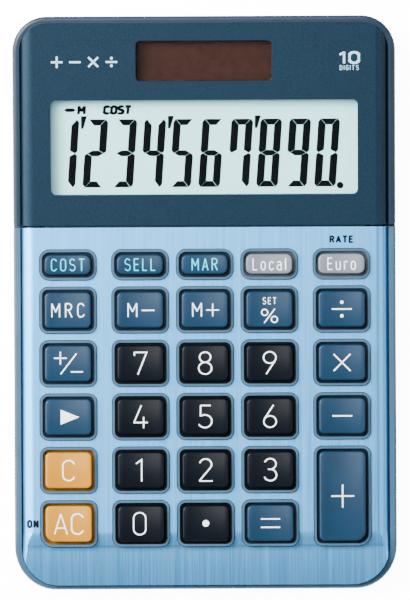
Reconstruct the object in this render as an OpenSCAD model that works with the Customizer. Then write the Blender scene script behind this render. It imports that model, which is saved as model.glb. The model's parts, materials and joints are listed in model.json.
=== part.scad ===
// Desk calculator: sloped keypad with 29 sprung keys, tilted display with a solar window,
// two upper casings and a bottom casing with a coin battery.
// Millimetres. Origin at the middle of the footprint, on the table. X right, Y to the rear, Z up.

/* [Body] */
// Overall width
body_w = 103; // [98:1:130]
// Overall height at the rear edge
body_h = 30; // [29:0.5:40]
// Front edge to the seam in front of the display, along the table
keypad_len = 97; // [94:1:120]
// Seam to the rear edge, along the table
display_len = 56; // [54:1:80]
// Slope of the keypad
keypad_tilt = 4.5; // [3:0.25:5]
// Slope of the display
display_tilt = 12; // [9:0.5:14]
// Corner radius of the outline at the front
front_r = 11.4; // [8:0.2:14]
// Corner radius of the outline at the rear
rear_r = 9.2; // [7:0.2:14]
// Rounding of the bottom edge
belly_r = 2; // [1:0.25:2.5]

/* [Casings] */
// Side wall of the casings
wall_t = 1.6; // [1.2:0.1:2.2]
// Floor of the bottom casing
floor_t = 1.8; // [1.4:0.1:2.2]
// Deck of the upper casings, under the plate and the display cover
deck_t = 1.5; // [1.2:0.1:1.8]
// Width of the casing edge that shows at the sides and the rear
rim_w = 2; // [1.6:0.1:3]
// Width of the casing edge that shows at the front
front_rim_w = 0.9; // [0.8:0.1:2]
// How far the casing edge lies below the plate and the cover
rim_drop = 1.6; // [1:0.1:2]
// From the plate's surface down to the joint with the bottom casing
joint_drop = 6.6; // [6:0.1:7.5]
// Gap between the two upper casings
seam_gap = 0.4; // [0.2:0.1:0.8]
// How far the display cover stands above the plate at the seam
seam_step = 0.6; // [0.2:0.1:1]
// Height of the lip that centres the upper casings
joint_lip = 1; // [0.6:0.1:1.4]

/* [Plate and cover] */
// Thickness of the metal face plate
plate_t = 0.5; // [0.4:0.05:0.7]
// Thickness of the display cover
cover_t = 1.4; // [1.2:0.1:1.8]
// Rounding of their long edges
crown_r = 3.5; // [2.5:0.25:4.5]
// How deep their turned-down edge goes
skirt = 3; // [2.4:0.1:3.2]
// From the last row's middle to the bend of the front lip
lip_start = 2.1; // [1:0.1:4]
// Further slope of the front lip
lip_tilt = 8; // [4:0.5:9]

/* [Keys] */
// Spacing of the three middle columns
col_pitch = 17.4; // [14:0.1:18]
// Spacing of the outer columns from their neighbours
outer_pitch = 19.45; // [16:0.05:20]
// Spacing of the rows
row_pitch = 14.38; // [11.5:0.02:14.6]
// Seam to the middle of the first row
first_row = 10.2; // [9:0.1:12]
// First row to second row
second_step = 12.2; // [11:0.1:14]
// Length of the first row's collars
short_len = 8.1; // [7:0.1:9]
// Gap between neighbouring collars, across
collar_gap_x = 2.2; // [1.6:0.1:4]
// Gap between neighbouring collars, along
collar_gap_y = 2; // [1.6:0.1:4]
// Wall of the collar round each key
collar_t = 0.6; // [0.5:0.05:1]
// Height of the collar above the plate
collar_h = 0.8; // [0.4:0.1:1.2]
// Corner radius of the collars
collar_r = 2.2; // [1.6:0.1:2.6]
// Corner radius of the first row's collars
short_r = 2.6; // [1.8:0.1:3]
// Radius at the keypad's two front corners
big_r = 3.4; // [2.2:0.1:4]
// Gap between a key and its collar
key_gap = 0.45; // [0.3:0.05:0.7]
// Height of the key tops above the plate
key_h = 2.5; // [2:0.1:3.5]
// Radius of the hollow in the key tops
dish_r = 45; // [30:1:80]
// Wall of the key caps
key_t = 1; // [0.8:0.1:1.3]
// Key travel
travel = 1.5; // [1:0.1:1.5]
// Thickness of the flange that stops the key
flange_t = 0.9; // [0.7:0.1:1]
// Width of that flange past the collar's inner side
flange_w = 0.6; // [0.4:0.05:0.7]

/* [Keypad and board] */
// Thickness of the rubber sheet
sheet_t = 0.8; // [0.6:0.1:1]
// Height left in a rubber dome when its key is right down
dome_crush = 0.3; // [0.2:0.05:0.7]
// Radius of the domes at their foot
dome_r = 3.6; // [3:0.1:4]
// Radius of the first row's domes at their foot
short_dome_r = 2.8; // [2.4:0.1:3]
// Thickness of the circuit board
board_t = 1; // [0.8:0.1:1.2]
// Half width of the circuit board
board_x = 43.4; // [43:0.1:44]
// Board edge in front of the last row's middle
board_front = 9; // [8:0.5:10]
// Board edge behind the seam
board_rear = 4; // [3:0.5:6]

/* [Display] */
// Width of the display window
lcd_w = 82.6; // [60:0.2:84]
// Length of the display window, along the slope
lcd_l = 25.6; // [18:0.2:26]
// Corner radius of the display window
lcd_r = 1.4; // [0.5:0.1:3]
// Seam to the middle of the display window
lcd_mid = 21.4; // [20:0.1:22]
// Width of the solar window
sun_w = 36.6; // [25:0.2:60]
// Length of the solar window, along the slope
sun_l = 10.9; // [8:0.1:12]
// Corner radius of the solar window
sun_r = 1.2; // [0.5:0.1:3]
// Seam to the middle of the solar window
sun_mid = 44.8; // [43:0.1:46]
// Thickness of the clear windows
lens_t = 1.1; // [0.8:0.1:1.2]
// How far the clear windows and cells reach past the openings
lap = 1.6; // [1.2:0.1:2]
// Thickness of the display glass
glass_t = 2; // [1.4:0.2:2.4]
// Ledge of the front glass that carries the contacts
ledge = 2.6; // [2:0.2:3]

/* [Fasteners and feet] */
// Screw shank radius
screw_r = 1; // [0.8:0.05:1.1]
// Screw head radius
head_r = 1.8; // [1.5:0.1:2]
// Screw head height
head_h = 1.2; // [1:0.1:1.4]
// Screw to the outer side of the body
screw_in = 5.1; // [5:0.1:6]
// Radius of the rubber feet
foot_r = 5; // [4:0.5:7]
// How far the feet stand out
foot_h = 1.6; // [1:0.1:2]
// Depth of the recess that holds each foot
foot_sink = 0.8; // [0.5:0.1:1]

/* [Battery] */
// Coin battery radius
cell_r = 5.8; // [4.5:0.1:6.5]
// Coin battery thickness
cell_t = 5.4; // [3:0.1:5.6]
// Place of the battery, right of the middle
cell_x = 22; // [10:1:26]
// Place of the battery, behind the seam
cell_back = 26; // [22:1:30]
// Thickness of the battery cover
lid_t = 1.4; // [1.2:0.1:1.6]

/* [Hidden] */
$fn = 48;
// Clearances: face to face, sliding or screwed, and round a pilot hole
touch = 0.03;
fit = 0.15;
pilot = 0.02;
far = 300;
body_d = keypad_len + display_len;
front_y = -body_d / 2;
rear_y = body_d / 2;
seam_y = front_y + keypad_len;
cover_rear = (display_len - rim_w) / cos(display_tilt);
cover_z = body_h - cover_rear * sin(display_tilt);
seam_z = cover_z - seam_step;
floor_z = foot_h + floor_t;

// Rows and columns. Places along the slope are negative in front of the seam.
row_v = [-first_row, for (i = [0 : 4]) -first_row - second_step - i * row_pitch];
col_x = [-col_pitch - outer_pitch, -col_pitch, 0, col_pitch, col_pitch + outer_pitch];
bend_v = row_v[5] - lip_start;
collar_w = col_pitch - collar_gap_x;
collar_l = row_pitch - collar_gap_y;

// Stack under the plate, measured down from its surface
deck_under = plate_t + deck_t;
flange_top = deck_under + 0.1;
flange_under = flange_top + flange_t;
dome_h = travel + dome_crush;
sheet_top = flange_under + touch + dome_h;
board_top = sheet_top + sheet_t + touch;
board_under = board_top + board_t;
groove_drop = skirt + 0.1;
shelf_drop = groove_drop + 1.3;

// Stack under the display cover
panel_under = cover_t + deck_t;
panel_shelf = panel_under + 2.4;
glass_top = panel_under + touch;
glass_under = glass_top + glass_t;
film_t = 0.2;
ribbon_w = 40;
ribbon_t = 0.16;
pad_t = 1.6;
sun_top = cover_t + lens_t + 2 * touch;
sun_t = 1;
tray_back = 1;
tray_under = glass_under + film_t + 2 * touch + tray_back;

// Key table: name, column, row, rows spanned, legend colour, radii at its four corners
BLUE = "#2b5a7d";
DARK = "#131a22";
GREY = "#a4a9ae";
ORANGE = "#f9b14c";
KEYS = [
    ["key_cost", 0, 0, 1, BLUE], ["key_sell", 1, 0, 1, BLUE], ["key_margin", 2, 0, 1, BLUE],
    ["key_local", 3, 0, 1, GREY], ["key_euro", 4, 0, 1, GREY],
    ["key_memory_recall", 0, 1, 1, BLUE], ["key_memory_minus", 1, 1, 1, BLUE],
    ["key_memory_plus", 2, 1, 1, BLUE], ["key_percent", 3, 1, 1, BLUE], ["key_divide", 4, 1, 1, BLUE],
    ["key_sign", 0, 2, 1, BLUE], ["key_7", 1, 2, 1, DARK], ["key_8", 2, 2, 1, DARK],
    ["key_9", 3, 2, 1, DARK], ["key_multiply", 4, 2, 1, BLUE],
    ["key_delete", 0, 3, 1, BLUE], ["key_4", 1, 3, 1, DARK], ["key_5", 2, 3, 1, DARK],
    ["key_6", 3, 3, 1, DARK], ["key_subtract", 4, 3, 1, BLUE],
    ["key_clear", 0, 4, 1, ORANGE], ["key_1", 1, 4, 1, DARK], ["key_2", 2, 4, 1, DARK],
    ["key_3", 3, 4, 1, DARK], ["key_add", 4, 4, 2, BLUE],
    ["key_all_clear", 0, 5, 1, ORANGE], ["key_0", 1, 5, 1, DARK], ["key_point", 2, 5, 1, DARK],
    ["key_equals", 3, 5, 1, BLUE],
];

// ---- Frames ----

// Side-view points: along and above the keypad's slope, and along and above the display's slope
function kp(v, n) = [
    seam_y + v * cos(keypad_tilt) - n * sin(keypad_tilt),
    seam_z + v * sin(keypad_tilt) + n * cos(keypad_tilt)
];
function dp(w, m) = [
    seam_y + w * cos(display_tilt) - m * sin(display_tilt),
    cover_z + w * sin(display_tilt) + m * cos(display_tilt)
];

// Heights above the table, at a distance behind the seam
function joint_z(y) = seam_z - joint_drop / cos(keypad_tilt) + (y - seam_y) * tan(keypad_tilt);
function keypad_z(y, drop) = seam_z - drop / cos(keypad_tilt) + (y - seam_y) * tan(keypad_tilt);
function display_z(y, drop) = cover_z - drop / cos(display_tilt) + (y - seam_y) * tan(display_tilt);

module on_keypad() {
    translate([0, seam_y, seam_z]) rotate([keypad_tilt, 0, 0]) children();
}

module on_lip() {
    on_keypad() translate([0, bend_v, 0]) rotate([lip_tilt, 0, 0]) children();
}

module on_display() {
    translate([0, seam_y, cover_z]) rotate([display_tilt, 0, 0]) children();
}

// A side-view shape, run across the body
module across(width) {
    rotate([90, 0, 90]) linear_extrude(width, center = true) children();
}

// A front-view shape, run from front to rear
module along(length) {
    rotate([90, 0, 0]) linear_extrude(length, center = true) children();
}

// ---- Outlines ----

// Rectangle with a radius at each corner: front left, front right, rear right, rear left
module round_rect(w, l, r) {
    x = w / 2;
    y = l / 2;
    polygon([
        [-x + r[0], -y], [x - r[1], -y], [x, -y + r[1]], [x, y - r[2]],
        [x - r[2], y], [-x + r[3], y], [-x, y - r[3]], [-x, -y + r[0]]
    ]);
    translate([-x + r[0], -y + r[0]]) circle(r[0]);
    translate([x - r[1], -y + r[1]]) circle(r[1]);
    translate([x - r[2], y - r[2]]) circle(r[2]);
    translate([-x + r[3], y - r[3]]) circle(r[3]);
}

// The body's outline from above, moved in at the sides and rear, and at the front
module outline(side, front) {
    rf = front_r - (side + front) / 2;
    rr = rear_r - side;
    translate([0, (front - side) / 2])
        round_rect(body_w - 2 * side, body_d - front - side, [rf, rf, rr, rr]);
}

module column(side, front) {
    translate([0, 0, -1]) linear_extrude(body_h + 10) outline(side, front);
}

// Front view with rounded long edges
module crown(half, r, top) {
    translate([-half, -far]) square([2 * half, far + top - r]);
    translate([-half + r, -far]) square([2 * (half - r), far + top]);
    translate([half - r, top - r]) circle(r);
    translate([r - half, top - r]) circle(r);
}

// The plate's outer form, moved in by t all round, down to a depth below its surface
module plate_form(t, under, gap = seam_gap / 2) {
    half = body_w / 2 - rim_w - t;
    intersection() {
        column(rim_w + t, front_rim_w + t);
        on_keypad() along(2 * far) crown(half, crown_r - t, -t);
        on_lip() translate([-far, -far, -far - t]) cube([2 * far, 2 * far, far]);
        keypad_slab(-5, under, gap);
    }
}

// The keypad half of the body between two depths, following the front lip
module keypad_slab(top, under, gap = seam_gap / 2) {
    reach = keypad_len + 20;
    drop = (reach + bend_v) * tan(lip_tilt);
    across(far) polygon([
        kp(-gap, -top), kp(bend_v, -top), kp(-reach, -top - drop),
        kp(-reach, -under - drop), kp(bend_v, -under), kp(-gap, -under)
    ]);
}

// The cover's outer form, moved in by t all round
module cover_form(t, under, gap = seam_gap / 2) {
    half = body_w / 2 - rim_w - t;
    intersection() {
        column(rim_w + t, front_rim_w + t);
        on_display() along(2 * far) crown(half, crown_r - t, -t);
        display_slab(-5, under, gap);
    }
}

module display_slab(top, under, gap = seam_gap / 2) {
    reach = display_len + 20;
    across(far) polygon([dp(gap, -top), dp(reach, -top), dp(reach, -under), dp(gap, -under)]);
}

// ---- Keys ----

function key_radii(k) = k[2] == 0 ? [short_r, short_r, short_r, short_r]
    : k[0] == "key_all_clear" ? [big_r, collar_r, collar_r, collar_r]
    : k[3] == 2 ? [collar_r, big_r, collar_r, collar_r]
    : [collar_r, collar_r, collar_r, collar_r];
function key_len(k) = k[2] == 0 ? short_len : collar_l + (k[3] - 1) * row_pitch;
function key_v(k) = row_v[k[2]] - (k[3] - 1) * row_pitch / 2;
function less(r, t) = [for (x = r) max(x - t, 0.3)];

// Collar outline of key k, moved in by t
module key_shape(k, t) {
    round_rect(collar_w - 2 * t, key_len(k) - 2 * t, less(key_radii(k), t));
}

module at_key(k) {
    on_keypad() translate([col_x[k[1]], key_v(k), 0]) children();
}

module key(k) {
    cap_in = collar_t + key_gap;
    cap_w = collar_w - 2 * cap_in;
    cap_l = key_len(k) - 2 * cap_in;
    sag = dish_r - sqrt(dish_r * dish_r - cap_w * cap_w / 4);
    roof = key_h - sag - key_t;
    at_key(k) difference() {
        union() {
            translate([0, 0, -flange_under]) linear_extrude(key_h + 1 + flange_under)
                key_shape(k, cap_in);
            translate([0, 0, -flange_under]) linear_extrude(flange_t)
                key_shape(k, collar_t - flange_w);
        }
        translate([0, 0, key_h + dish_r - sag]) along(3 * row_pitch) circle(dish_r, $fn = 240);
        translate([0, 0, -flange_under - 1]) linear_extrude(roof + flange_under + 1) difference() {
            key_shape(k, cap_in + key_t);
            circle(min(2, cap_l / 2 - key_t - 0.3));
            square([0.8, far], center = true);
        }
    }
}

// ---- Casings ----

// Screws that hold the casings together: x, y and the slope they reach
boss_r = screw_r + 0.9;
case_screw_x = body_w / 2 - screw_in;
rear_screw_x = body_w / 2 - rear_r + 1;
CASE_SCREWS = [
    for (s = [-1, 1]) [s * case_screw_x, kp((row_v[3] + row_v[4]) / 2, 0)[0], "keypad"],
    for (s = [-1, 1]) [s * case_screw_x, seam_y + boss_r + 1.2, "display"],
    for (s = [-1, 1]) [s * rear_screw_x, rear_y - screw_in - 2, "display"],
];
well_r = head_r + 0.25;
post_r = well_r + 1;
seat_drop = 2;
function seat_z(p) = joint_z(p[1]) - seat_drop;
function boss_top(p) = p[2] == "keypad" ? keypad_z(p[1], shelf_drop - 0.8)
    : display_z(p[1], panel_shelf - 0.8);
function screw_top(p) = min(joint_z(p[1]) + 6, boss_top(p) - 0.6);

module case_bosses(which) {
    for (p = CASE_SCREWS) if (p[2] == which)
        translate([p[0], p[1], joint_z(p[1])]) cylinder(r = boss_r, h = boss_top(p) - joint_z(p[1]));
}

module case_pilots(which) {
    for (p = CASE_SCREWS) if (p[2] == which)
        translate([p[0], p[1], joint_z(p[1]) - 1])
            cylinder(r = screw_r + pilot, h = screw_top(p) - joint_z(p[1]) + 1.2);
}

// Places where the circuit board is screwed to the deck
board_screw_x = (col_x[3] + col_x[4]) / 2;
BOARD_SCREWS = [
    for (s = [-1, 1], v = [(row_v[0] + row_v[1]) / 2, (row_v[2] + row_v[3]) / 2, (row_v[4] + row_v[5]) / 2])
        [s * board_screw_x, v]
];
board_boss_r = 1.75;

module keyboard_case() {
    tongue = 2.4;
    tongue_top = deck_under + 0.6;
    color("#6f93ab") difference() {
        union() {
            difference() {
                union() {
                    // Edge, cut back for the plate's turned-down sides
                    difference() {
                        intersection() {
                            column(0, 0);
                            keypad_slab(rim_drop, joint_drop + 10);
                        }
                        intersection() {
                            column(rim_w - fit, front_rim_w - fit);
                            keypad_slab(-5, groove_drop, -1);
                        }
                    }
                    plate_form(plate_t, joint_drop);
                    for (k = KEYS) at_key(k) translate([0, 0, -deck_under])
                        linear_extrude(collar_h + deck_under) key_shape(k, 0);
                }
                // Space under the deck, and between the side walls
                intersection() {
                    column(rim_w + plate_t + crown_r, front_rim_w + plate_t + crown_r);
                    keypad_slab(deck_under, joint_drop + 20, -1);
                }
                intersection() {
                    column(wall_t, wall_t);
                    keypad_slab(shelf_drop, joint_drop + 20, -1);
                }
            }
            case_bosses("keypad");
            for (p = BOARD_SCREWS) on_keypad() translate([p[0], p[1], -board_top + touch])
                cylinder(r = board_boss_r, h = board_top - touch - deck_under + 0.5);
            // Tongue that the display casing holds down
            on_keypad() translate([-body_w / 2 + 12, -4, -tongue_top - 1.2])
                cube([body_w - 24, 4 + tongue, 1.2]);
            on_keypad() translate([-body_w / 2 + 12, -4, -tongue_top - 1.2])
                cube([body_w - 24, 3, tongue_top + 1.2 - plate_t - 0.5]);
        }
        // Everything below the joint with the bottom casing
        on_keypad() translate([-far, -far, -far - joint_drop]) cube([2 * far, 2 * far, far]);
        for (k = KEYS) at_key(k) translate([0, 0, -far / 2]) linear_extrude(far) key_shape(k, collar_t);
        // Room for the keys' flanges where the deck bends down
        for (k = KEYS) at_key(k) translate([0, 0, -far]) linear_extrude(far - deck_under)
            key_shape(k, collar_t - flange_w - 2 * fit);
        case_pilots("keypad");
        for (p = BOARD_SCREWS) on_keypad() translate([p[0], p[1], -board_top - 1])
            cylinder(r = screw_r + pilot, h = board_top - deck_under + 1.2);
    }
}

module face_plate() {
    color("#a5cfe8") difference() {
        plate_form(0, skirt);
        plate_form(plate_t - touch, far, -2);
        for (k = KEYS) at_key(k) translate([0, 0, -5]) linear_extrude(10) key_shape(k, -touch);
    }
}

module display_window(w, l, r, mid, from, depth) {
    on_display() translate([0, mid, -from - depth]) linear_extrude(depth)
        round_rect(w, l, [r, r, r, r]);
}

module display_case() {
    color("#274a68") difference() {
        union() {
            difference() {
                union() {
                    // Edge, cut back for the cover's turned-down sides
                    difference() {
                        intersection() {
                            column(0, 0);
                            display_slab(rim_drop, far);
                        }
                        intersection() {
                            column(rim_w - fit, front_rim_w - fit);
                            display_slab(-5, groove_drop, -1);
                        }
                    }
                    cover_form(cover_t, far);
                }
                intersection() {
                    column(rim_w + cover_t + crown_r, front_rim_w + cover_t + crown_r);
                    display_slab(panel_under, far, -10);
                }
                intersection() {
                    column(wall_t, wall_t);
                    display_slab(panel_shelf, far, -10);
                }
            }
            case_bosses("display");
            for (p = TRAY_SCREWS) on_display() translate([p[0], p[1], -tray_under + tray_back + touch])
                cylinder(r = boss_r, h = tray_under - tray_back - panel_under + 0.5);
        }
        on_keypad() translate([-far, -far, -far - joint_drop]) cube([2 * far, 2 * far, far]);
        display_window(lcd_w + 2 * lap, lcd_l + 2 * lap, lcd_r, lcd_mid, cover_t - 1, 10);
        display_window(sun_w + 2 * lap, sun_l + 2 * lap, sun_r, sun_mid, cover_t - 1, 10);
        case_pilots("display");
        for (p = TRAY_SCREWS) on_display() translate([p[0], p[1], -far - panel_under - 0.6])
            cylinder(r = screw_r + pilot, h = far);
    }
}

module display_cover() {
    color("#2a4560") difference() {
        cover_form(0, skirt);
        cover_form(cover_t - touch, far, -2);
        display_window(lcd_w, lcd_l, lcd_r, lcd_mid, -1, 10);
        display_window(sun_w, sun_l, sun_r, sun_mid, -1, 10);
    }
}

// Bottom casing block, up to the joint, with a rounded belly
module belly() {
    intersection() {
        column(0, 0);
        along(far) translate([0, 50 + foot_h])
            round_rect(body_w, 100, [belly_r, belly_r, 0.1, 0.1]);
        across(far) translate([0, 50 + foot_h])
            round_rect(body_d, 100, [belly_r, belly_r, 0.1, 0.1]);
        below_joint(0);
    }
}

module below_joint(up) {
    on_keypad() translate([-far, -far, -far - joint_drop + up]) cube([2 * far, 2 * far, far]);
}

// Battery box: the well is open below, and the cover closes it
contact_t = 0.3;
contact_w = 4;
cell_y = seam_y + cell_back;
lid_side = 2;
lid_screw_back = 4.4;
lid_r = 1.5;
box_wall = 1.5;
well_gap = 0.3;
lid_w = 2 * (cell_r + lid_side);
lid_l = 2 * (cell_r + 3 * lid_side);
lid_z = foot_h + lid_t;
cell_z = lid_z + 0.6;
well_top = cell_z + cell_t + 1.2;
box_w = lid_w + 2 * box_wall;
box_l = lid_l + 2 * box_wall;
lid_mid_y = cell_y + 3;
lid_screw_y = cell_y + cell_r + lid_screw_back;
slot_w = contact_w + 0.4;
slot_reach = 0.9;
lid_seat_z = foot_h + head_h - 0.4;
lid_screw_len = 4.6;

// Feet, in from the sides, the front and the rear
foot_in = 13;
foot_in_front = 12;
foot_in_rear = 14;
FEET = [
    for (x = [-1, 1], y = [front_y + foot_in_front, rear_y - foot_in_rear])
        [x * (body_w / 2 - foot_in), y]
];

// Blank recess for a label, under the keypad
label_w = 50;
label_l = 28;
label_back = 45;
label_deep = 0.3;

module bottom_case() {
    lip_t = 0.9;
    rib_t = 1;
    inside_z = foot_h + 0.5;
    color("#20384f") difference() {
        union() {
            difference() {
                belly();
                intersection() {
                    column(wall_t, wall_t);
                    translate([-far, -far, floor_z]) cube([2 * far, 2 * far, far]);
                }
            }
            // Lip that centres the upper casings
            difference() {
                intersection() {
                    difference() {
                        column(wall_t + fit, wall_t + fit);
                        column(wall_t + fit + lip_t, wall_t + fit + lip_t);
                    }
                    below_joint(joint_lip);
                    on_keypad() translate([-far, bend_v + 4, -far]) cube([2 * far, far, 2 * far]);
                }
                translate([-far, -far, foot_h - far + 1]) cube([2 * far, 2 * far, far]);
            }
            intersection() {
                for (p = CASE_SCREWS) translate([p[0], p[1], inside_z])
                    cylinder(r = post_r, h = joint_z(p[1]) - inside_z - touch);
                column(wall_t / 2, wall_t / 2);
            }
            translate([cell_x - box_w / 2, lid_mid_y - box_l / 2, inside_z])
                cube([box_w, box_l, well_top + 1 - inside_z]);
            // Ribs that carry the front of the circuit board
            for (x = [col_x[1] + col_pitch / 2, col_x[3] - col_pitch / 2])
                intersection() {
                    translate([x - rib_t / 2, front_y + 8, inside_z])
                        cube([rib_t, keypad_len - 45, 20]);
                    on_keypad() translate([-far, -far, -far - board_under - touch])
                        cube([2 * far, 2 * far, far]);
                }
        }
        for (p = CASE_SCREWS) translate([p[0], p[1], 0]) {
            cylinder(r = well_r, h = seat_z(p));
            cylinder(r = screw_r + fit, h = far);
        }
        for (f = FEET) translate([f[0], f[1], 0]) cylinder(r = foot_r + fit, h = foot_h + foot_sink);
        // Recess for the battery cover, the well, and the slots for its two contacts
        translate([cell_x, lid_mid_y, 0]) linear_extrude(lid_z + touch)
            round_rect(lid_w + 2 * fit, lid_l + 2 * fit, [lid_r, lid_r, lid_r, lid_r]);
        translate([cell_x, cell_y, 0]) cylinder(r = cell_r + well_gap, h = well_top);
        translate([cell_x - slot_w / 2, cell_y, lid_z - 1])
            cube([slot_w, cell_r + slot_reach, well_top - lid_z + 3]);
        translate([cell_x - slot_w / 2, cell_y - cell_r - slot_reach, lid_z - 1])
            cube([slot_w, cell_r, well_top - lid_z + 3]);
        translate([cell_x, lid_screw_y, 0]) cylinder(r = screw_r + pilot, h = lid_z + lid_screw_len + 0.6);
        translate([0, front_y + label_back, 0]) linear_extrude(foot_h + label_deep)
            round_rect(label_w, label_l, [2, 2, 2, 2]);
    }
}

// ---- Display unit ----

module lcd_lens() {
    color("#dfeceb", 0.4)
        display_window(lcd_w + 2 * lap - fit, lcd_l + 2 * lap - fit, lcd_r, lcd_mid, cover_t + touch, lens_t);
}

module solar_lens() {
    color("#8a6a5a", 0.4)
        display_window(sun_w + 2 * lap - fit, sun_l + 2 * lap - fit, sun_r, sun_mid, cover_t + touch, lens_t);
}

glass_w = lcd_w + 2 * lap;
glass_l = lcd_l + 2 * lap + 1;
tray_wall = 1;
tray_w = glass_w + 2 * fit + 2 * tray_wall;
tray_l = glass_l + 2 * fit + 2 * tray_wall;
ear_r = 2.8;
ear_x = glass_w / 2 - 6;
ear_y = tray_l / 2 + 1.4;
TRAY_SCREWS = [for (s = [-1, 1]) [s * ear_x, lcd_mid + ear_y]];

module flat_on_display(w, l, mid, top, t) {
    on_display() translate([-w / 2, mid - l / 2, -top - t]) cube([w, l, t]);
}

module lcd_glass() {
    half = glass_t / 2;
    color("#cfe2e3") {
        flat_on_display(glass_w, glass_l, lcd_mid, glass_top, half);
        flat_on_display(glass_w, glass_l - ledge, lcd_mid + ledge / 2, glass_top + half, half);
    }
}

module lcd_reflector() {
    color("#b9c4c4")
        flat_on_display(glass_w - 2, glass_l - ledge - 1, lcd_mid + ledge / 2, glass_under + touch, film_t);
}

module lcd_holder() {
    color("#e6e6e0") difference() {
        union() {
            flat_on_display(tray_w, tray_l, lcd_mid, glass_top, tray_under - glass_top);
            for (p = TRAY_SCREWS) on_display() translate([p[0], p[1], -tray_under]) {
                cylinder(r = ear_r, h = tray_back);
                translate([-ear_r, -3, 0]) cube([2 * ear_r, 3, tray_back]);
            }
        }
        flat_on_display(glass_w + 2 * fit, glass_l + 2 * fit, lcd_mid, 0, tray_under - tray_back);
        // Slot for the ribbon
        flat_on_display(ribbon_w + 2, ledge + tray_wall + 2, lcd_mid - tray_l / 2 + ledge / 2,
            glass_top + 1 + touch, 10);
        for (p = TRAY_SCREWS) on_display() translate([p[0], p[1], -far])
            cylinder(r = screw_r + fit, h = far);
        for (p = TRAY_SCREWS) on_display() translate([p[0], p[1], -tray_under + tray_back])
            cylinder(r = boss_r + fit, h = far);
    }
}

// Pan-head screw, point up, with its head's seat at the origin
module screw(length) {
    translate([0, 0, -head_h]) difference() {
        cylinder(r = head_r, h = head_h);
        translate([0, 0, -1]) {
            cube([2 * head_r - 1, 0.5, 3.2], center = true);
            cube([0.5, 2 * head_r - 1, 3.2], center = true);
        }
    }
    translate([0, 0, -0.2]) cylinder(r = screw_r, h = length + 0.2);
}

module lcd_holder_screws() {
    color("#b8bcc0") for (p = TRAY_SCREWS) on_display() translate([p[0], p[1], -tray_under - touch])
        screw(tray_under - panel_under - 0.8);
}

// A thin strip bent along side-view points, mitred at the bends
function unit(v) = v / norm(v);
function mitre(p, i) =
    let(a = unit(i > 0 ? p[i] - p[i - 1] : p[1] - p[0]))
    let(b = i < len(p) - 1 ? unit(p[i + 1] - p[i]) : a)
    let(m = unit(a + b))
    [-m[1], m[0]] / (m * a);

module strip(points, t, width) {
    last = len(points) - 1;
    across(width) polygon([
        for (i = [0 : last]) points[i] + mitre(points, i) * t / 2,
        for (i = [last : -1 : 0]) points[i] - mitre(points, i) * t / 2
    ]);
}

module lcd_ribbon() {
    t = ribbon_t;
    glass_front = lcd_mid - glass_l / 2;
    start = dp(glass_front + ledge - 0.4, -glass_top - glass_t / 2 - t / 2 - touch);
    edge = dp(glass_front + 0.4, -glass_top - glass_t / 2 - t / 2 - touch);
    land = kp(board_rear - 1, -board_top + t / 2 + touch);
    color("#8a5a1e") strip([start, edge, [edge[0] - 0.6, edge[1] - 1], land + [0.6, 0.7], land,
        kp(board_rear - 3.4, -board_top + t / 2 + touch)], t, ribbon_w);
}

module solar_cell() {
    color("#4b2f26")
        display_window(sun_w + 2 * lap - 0.4, sun_l + 2 * lap - 0.4, sun_r, sun_mid, sun_top, sun_t);
}

module solar_pad() {
    color("#3a3a3a") difference() {
        display_window(sun_w + 2 * lap - 0.4, sun_l + 2 * lap - 0.4, sun_r, sun_mid,
            sun_top + sun_t + touch, pad_t);
        for (s = [-1, 1]) on_display() translate([s * LEAD_X, sun_mid, -far]) cylinder(r = 1.2, h = far);
    }
}

// A thin insulated lead along straight stretches
module lead(points, r) {
    for (i = [0 : len(points) - 2]) {
        d = points[i + 1] - points[i];
        translate(points[i]) rotate([0, acos(d[2] / norm(d)), atan2(d[1], d[0])])
            cylinder(r = r, h = norm(d), $fn = 24);
    }
    for (p = points) translate(p) sphere(bend_r, $fn = 24);
}

LEAD_X = 6;
lead_r = 0.4;
bend_r = 1.15 * lead_r;

module solar_leads() {
    solder = dp(sun_mid, -sun_top - sun_t - bend_r - touch);
    land = kp(board_rear - 1.2, -board_top + bend_r + touch);
    color("#a02c24") for (s = [-1, 1]) {
        x = s * LEAD_X;
        land_x = s * (glass_w / 2 - 6);
        lead([
            [x, solder[0], solder[1]], [x, solder[0], solder[1] - 4],
            [x + s * 5, solder[0] - 4, solder[1] - 9], [land_x, land[0] + 9, land[1] - 1.5],
            [land_x, land[0] + 2.2, land[1]], [land_x, land[0], land[1]]
        ], lead_r);
    }
}

// ---- Keypad and board ----

module flat_on_keypad(x, from_v, to_v, top, t) {
    on_keypad() translate([-x, from_v, -top - t]) cube([2 * x, to_v - from_v, t]);
}

module circuit_board() {
    color("#2f6b3c") difference() {
        flat_on_keypad(board_x, row_v[5] - board_front, board_rear, board_top, board_t);
        for (p = BOARD_SCREWS) on_keypad() translate([p[0], p[1], -far / 2])
            cylinder(r = screw_r + fit, h = far);
        // Notches for the casing's screw posts
        for (p = CASE_SCREWS) translate([p[0], p[1], 0]) cylinder(r = post_r + fit, h = far);
    }
}

module rubber_keypad() {
    color("#d8d8d2") difference() {
        union() {
            flat_on_keypad(board_x - 0.4, row_v[5] - board_front + 0.6, row_v[0] + 6, sheet_top, sheet_t);
            for (k = KEYS) at_key(k) translate([0, 0, -sheet_top - 0.2])
                cylinder(r1 = dome_foot(k), r2 = dome_foot(k) - 1, h = dome_h + 0.2);
        }
        for (k = KEYS) at_key(k) translate([0, 0, -sheet_top - sheet_t - 0.2])
            cylinder(r1 = dome_foot(k) - 0.5, r2 = dome_foot(k) - 1.6, h = dome_h + sheet_t - 0.4);
        for (p = BOARD_SCREWS) on_keypad() translate([p[0], p[1], -far / 2])
            cylinder(r = board_boss_r + fit, h = far);
    }
}

function dome_foot(k) = k[2] == 0 ? short_dome_r : dome_r;

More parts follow.
